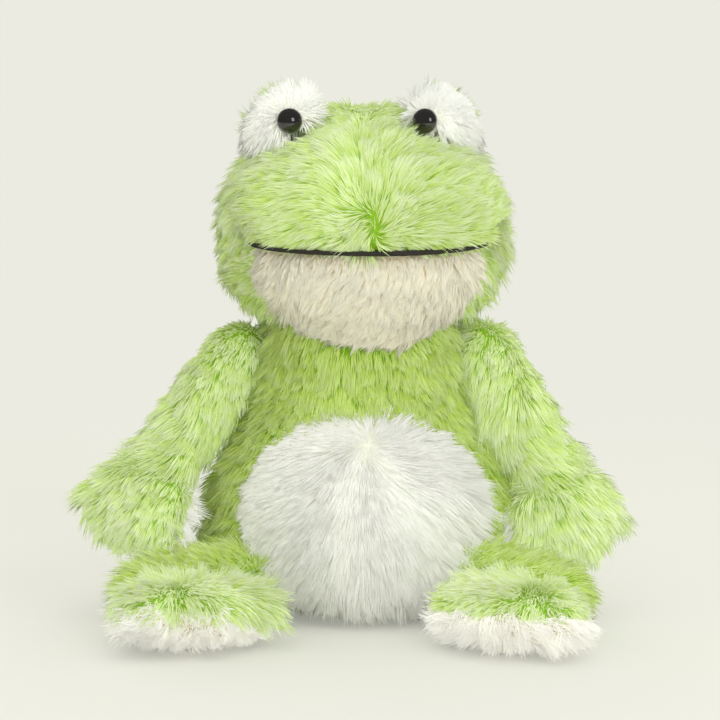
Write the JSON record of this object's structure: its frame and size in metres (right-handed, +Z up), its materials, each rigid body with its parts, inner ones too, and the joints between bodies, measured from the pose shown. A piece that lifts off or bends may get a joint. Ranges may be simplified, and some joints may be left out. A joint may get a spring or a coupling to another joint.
{
  "type": "plush frog",
  "caption": "Seated plush frog: long-pile green skins, white belly, palms, soles and eye mounds, cream jaw, felt mouth line, domed eyes, and a grain bag inside.",
  "frame": {"origin": "centre of the flat seat under the torso, on the surface that the toy sits on", "axes": "+Z up, the face and feet point along -Y, the toy's own left hand is on +X"},
  "size_m": [0.2582, 0.1811, 0.25],
  "materials": {
    "plush_green": "long-pile plush, lime green with paler tips",
    "plush_white": "long-pile plush, off-white",
    "plush_cream": "short-pile plush, cream",
    "felt_black": "thin pressed felt, black",
    "cotton": "plain woven cotton",
    "fibre": "loose polyester fibre",
    "grain": "dry loose grain",
    "eye_plastic": "polished, black",
    "washer_plastic": "moulded, off-white"
  },
  "bodies": {
    "torso": {"seat_panel": "plush_green", "belly_patch": "plush_white", "torso_front_panel": "plush_green", "torso_back_panel": "plush_green", "grain_bag_front": "cotton", "grain_bag_back": "cotton", "grain_fill": "grain", "chest_filling": "fibre"},
    "head": {"head_right_panel": "plush_green", "head_left_panel": "plush_green", "jaw_panel": "plush_cream", "mouth_strip": "felt_black", "head_filling": "fibre", "eye_mound_front_right": "plush_white", "eye_mound_back_right": "plush_green", "eye_right": "eye_plastic", "eye_washer_right": "washer_plastic", "eye_mound_filling_right": "fibre", "eye_mound_front_left": "plush_white", "eye_mound_back_left": "plush_green", "eye_left": "eye_plastic", "eye_washer_left": "washer_plastic", "eye_mound_filling_left": "fibre"},
    "arm_right": {"arm_front_panel_right": "plush_green", "arm_back_panel_right": "plush_green", "arm_filling_right": "fibre"},
    "hand_right": {"hand_top_right": "plush_green", "hand_palm_right": "plush_white", "hand_filling_right": "fibre"},
    "leg_right": {"leg_top_panel_right": "plush_green", "leg_bottom_panel_right": "plush_green", "leg_filling_right": "fibre"},
    "foot_right": {"foot_top_right": "plush_green", "foot_sole_right": "plush_white", "foot_filling_right": "fibre"},
    "arm_left": {"arm_front_panel_left": "plush_green", "arm_back_panel_left": "plush_green", "arm_filling_left": "fibre"},
    "hand_left": {"hand_top_left": "plush_green", "hand_palm_left": "plush_white", "hand_filling_left": "fibre"},
    "leg_left": {"leg_top_panel_left": "plush_green", "leg_bottom_panel_left": "plush_green", "leg_filling_left": "fibre"},
    "foot_left": {"foot_top_left": "plush_green", "foot_sole_left": "plush_white", "foot_filling_left": "fibre"}
  },
  "joints": [
    {"name": "head_nod", "type": "hinge", "parent": "torso", "child": "head", "pos_m": [0, 0, 0.118], "axis": [1, 0, 0], "range_deg": [-12, 12], "stiffness_Nm_per_rad": 1.2, "springref_deg": -1.65},
    {"name": "shoulder_right", "type": "hinge", "parent": "torso", "child": "arm_right", "pos_m": [-0.06011, -0.003, 0.124], "axis": [-0.9397, 0.342, 0], "range_deg": [-12, 80], "stiffness_Nm_per_rad": 0.25, "springref_deg": 1.24},
    {"name": "wrist_right", "type": "hinge", "parent": "arm_right", "child": "hand_right", "pos_m": [-0.09041, -0.01496, 0.07602], "axis": [-0.8584, 0.3769, 0.3479], "range_deg": [-15, 30], "stiffness_Nm_per_rad": 0.12, "springref_deg": 0.78},
    {"name": "hip_right", "type": "hinge", "parent": "torso", "child": "leg_right", "pos_m": [-0.06406, -0.0416, 0.019], "axis": [0.5446, -0.8387, 0], "range_deg": [-8, 70], "stiffness_Nm_per_rad": 0.3},
    {"name": "ankle_right", "type": "hinge", "parent": "leg_right", "child": "foot_right", "pos_m": [-0.09082, -0.05898, 0.0165], "axis": [-0.903, -0.4102, 0.1277], "range_deg": [-30, 20], "stiffness_Nm_per_rad": 0.2},
    {"name": "shoulder_left", "type": "hinge", "parent": "torso", "child": "arm_left", "pos_m": [0.06011, -0.003, 0.124], "axis": [-0.9397, -0.342, 0], "range_deg": [-3, 80], "stiffness_Nm_per_rad": 0.25, "springref_deg": 1.03},
    {"name": "wrist_left", "type": "hinge", "parent": "arm_left", "child": "hand_left", "pos_m": [0.08599, -0.01556, 0.07364], "axis": [-0.9131, -0.2513, -0.3211], "range_deg": [-15, 30], "stiffness_Nm_per_rad": 0.12, "springref_deg": 0.41},
    {"name": "hip_left", "type": "hinge", "parent": "torso", "child": "leg_left", "pos_m": [0.06234, -0.04365, 0.019], "axis": [0.5736, 0.8192, 0], "range_deg": [-8, 70], "stiffness_Nm_per_rad": 0.3},
    {"name": "ankle_left", "type": "hinge", "parent": "leg_left", "child": "foot_left", "pos_m": [0.08847, -0.06195, 0.0165], "axis": [-0.8434, 0.5349, -0.0506], "range_deg": [-30, 20], "stiffness_Nm_per_rad": 0.2}
  ]
}
